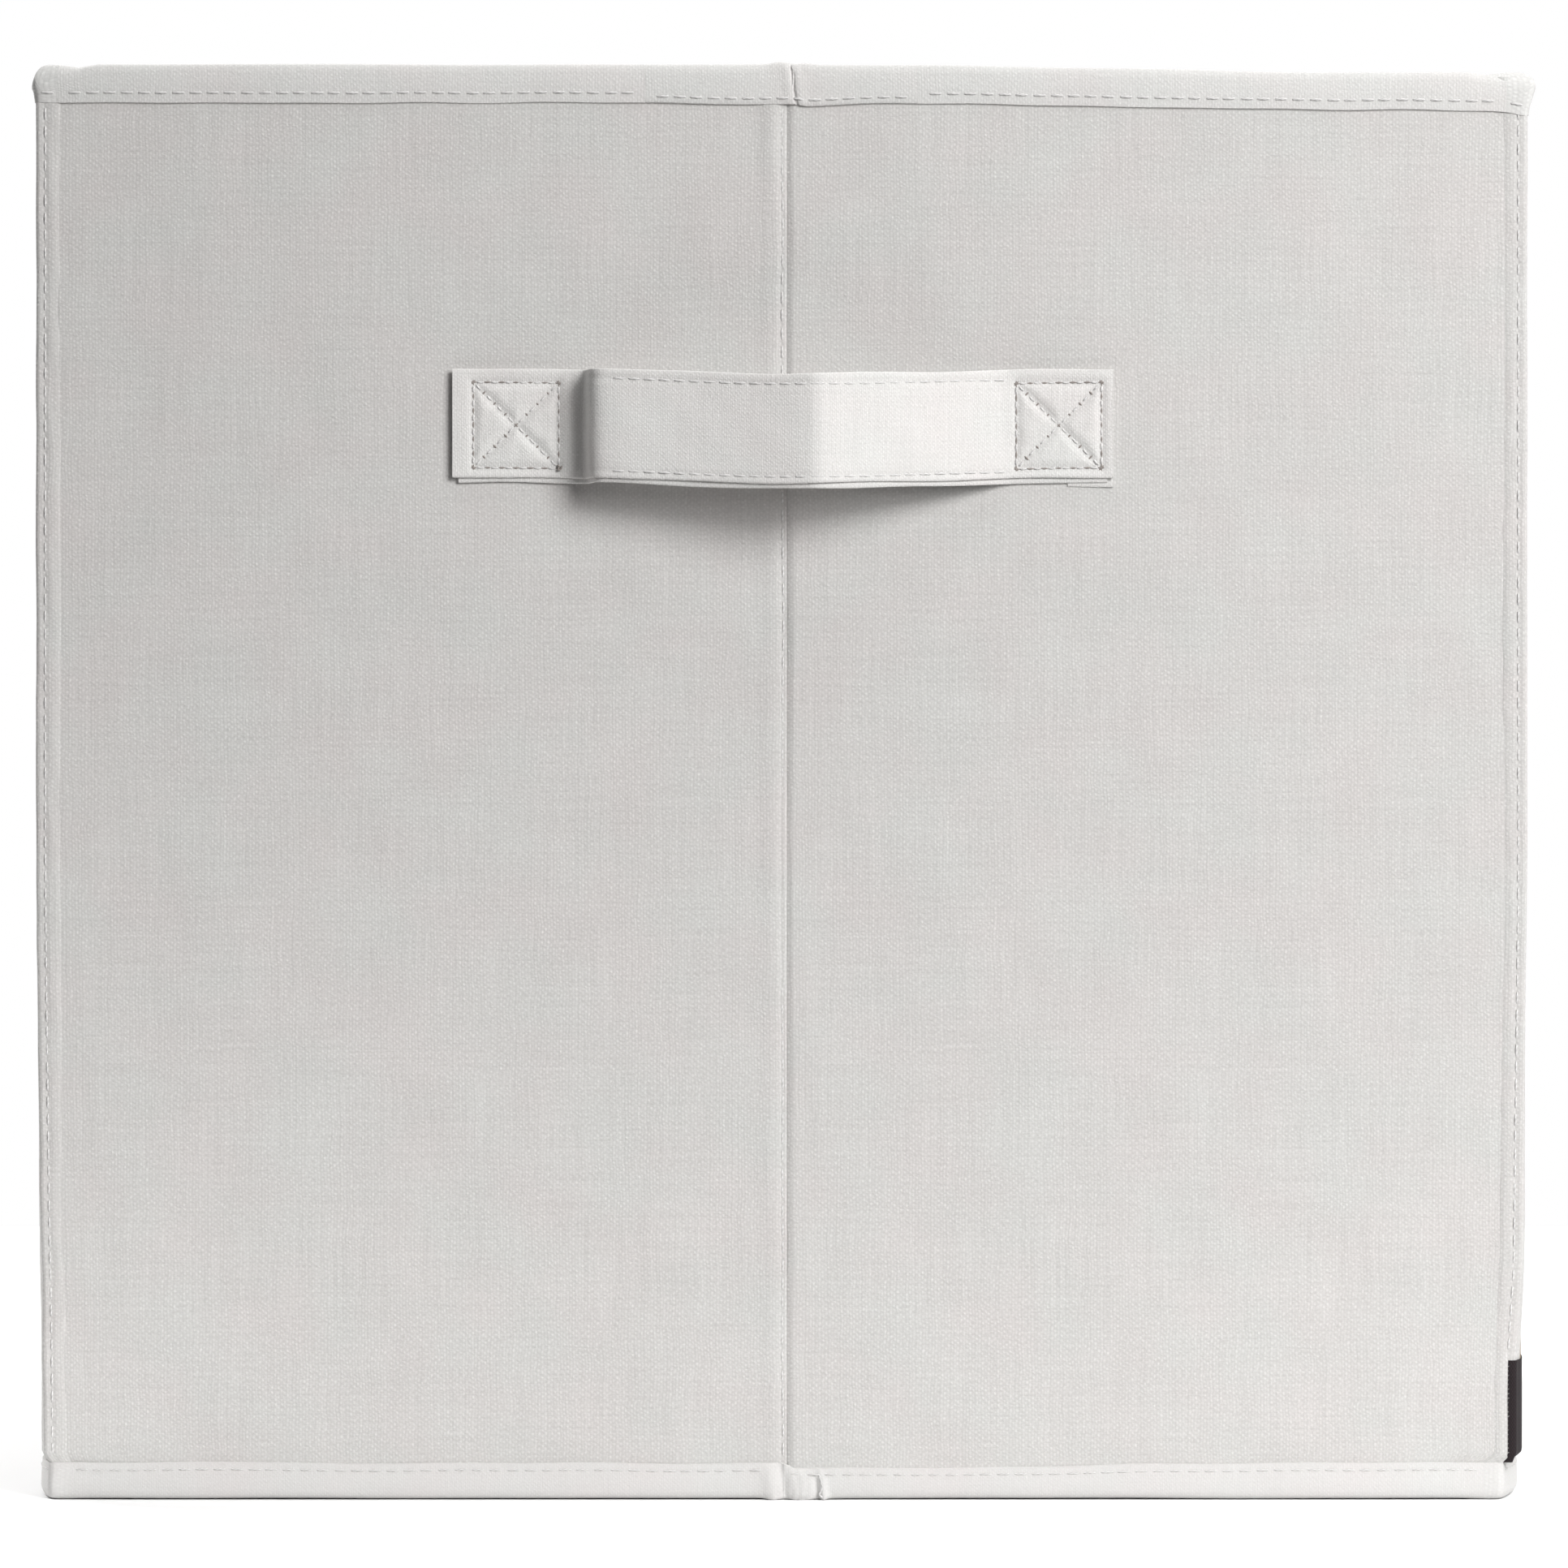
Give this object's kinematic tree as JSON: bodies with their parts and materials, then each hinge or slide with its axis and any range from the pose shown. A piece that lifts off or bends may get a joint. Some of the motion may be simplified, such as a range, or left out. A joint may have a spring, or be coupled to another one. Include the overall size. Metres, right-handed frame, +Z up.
{
  "type": "fabric storage bin",
  "caption": "Open square fabric storage bin with stiffened walls that fold inwards at sewn centre seams, a cloth front handle and a lift-out base insert.",
  "frame": {"origin": "middle of the open bin's footprint, on the floor under its foot tapes", "axes": "+Z up, the front with the handle faces -Y, the blank side label is on the +X side"},
  "size_m": [0.3296, 0.3521, 0.316],
  "materials": {
    "outer_cloth": "off-white plain-weave polyester with fine slubs",
    "binding_tape": "folded off-white binding tape, topstitched",
    "lining_cloth": "white spun-bonded non-woven lining",
    "handle_cloth": "folded off-white strap of the outer cloth, box-stitched at both ends",
    "base_cloth": "off-white non-woven cloth",
    "chipboard": "grey-brown pressed chipboard",
    "label_weave": "plain black woven label, blank"
  },
  "bodies": {
    "left_side": {"left_side_board": "chipboard", "left_side_fabric": "outer_cloth", "left_side_lining": "lining_cloth", "left_side_rim_tape": "binding_tape", "left_side_foot_tape": "binding_tape", "front_left_corner_edge": "outer_cloth", "back_left_corner_edge": "outer_cloth", "bottom_cloth": "base_cloth"},
    "front_left": {"front_left_board": "chipboard", "front_left_fabric": "outer_cloth", "front_left_lining": "lining_cloth", "front_left_rim_tape": "binding_tape", "front_left_foot_tape": "binding_tape", "front_centre_seam": "outer_cloth", "handle_left_half": "handle_cloth"},
    "front_right": {"front_right_board": "chipboard", "front_right_fabric": "outer_cloth", "front_right_lining": "lining_cloth", "front_right_rim_tape": "binding_tape", "front_right_foot_tape": "binding_tape", "handle_right_half": "handle_cloth"},
    "right_side": {"right_side_board": "chipboard", "right_side_fabric": "outer_cloth", "right_side_lining": "lining_cloth", "right_side_rim_tape": "binding_tape", "right_side_foot_tape": "binding_tape", "front_right_corner_edge": "outer_cloth", "back_right_corner_edge": "outer_cloth", "side_label": "label_weave"},
    "back_left": {"back_left_board": "chipboard", "back_left_fabric": "outer_cloth", "back_left_lining": "lining_cloth", "back_left_rim_tape": "binding_tape", "back_left_foot_tape": "binding_tape", "back_centre_seam": "outer_cloth"},
    "back_right": {"back_right_board": "chipboard", "back_right_fabric": "outer_cloth", "back_right_lining": "lining_cloth", "back_right_rim_tape": "binding_tape", "back_right_foot_tape": "binding_tape"},
    "base_insert": {"insert_board": "chipboard", "insert_cover": "base_cloth", "insert_pull_tab": "base_cloth"}
  },
  "joints": [
    {"name": "fold_front_left", "type": "hinge", "parent": "left_side", "child": "front_left", "pos_m": [-0.1594, -0.1614, 0], "axis": [0, 0, 1], "range_deg": [0, 87], "deforming": ["front_left_foot_tape", "front_right_foot_tape", "right_side_foot_tape", "back_left_foot_tape", "back_right_foot_tape", "bottom_cloth", "handle_left_half", "handle_right_half"]},
    {"name": "fold_front_centre", "type": "hinge", "parent": "front_left", "child": "front_right", "pos_m": [0, -0.1678, 0], "axis": [0, 0, 1], "range_deg": [-174, 0]},
    {"name": "fold_front_right", "type": "hinge", "parent": "front_right", "child": "right_side", "pos_m": [0.1594, -0.1614, 0], "axis": [0, 0, 1], "range_deg": [0, 87]},
    {"name": "fold_back_left", "type": "hinge", "parent": "left_side", "child": "back_left", "pos_m": [-0.1594, 0.1614, 0], "axis": [0, 0, 1], "range_deg": [-87, 0]},
    {"name": "fold_back_centre", "type": "hinge", "parent": "back_left", "child": "back_right", "pos_m": [0, 0.1678, 0], "axis": [0, 0, 1], "range_deg": [0, 174]},
    {"name": "base_lift_out", "type": "slide", "parent": "left_side", "child": "base_insert", "axis": [0, 0, 1], "range_m": [0, 0.34]}
  ],
  "couplings": [
    {"joint": "fold_front_centre", "follows": "fold_front_left", "ratio": -2},
    {"joint": "fold_front_right", "follows": "fold_front_left", "ratio": 1},
    {"joint": "fold_back_left", "follows": "fold_front_left", "ratio": -1},
    {"joint": "fold_back_centre", "follows": "fold_front_left", "ratio": 2}
  ]
}
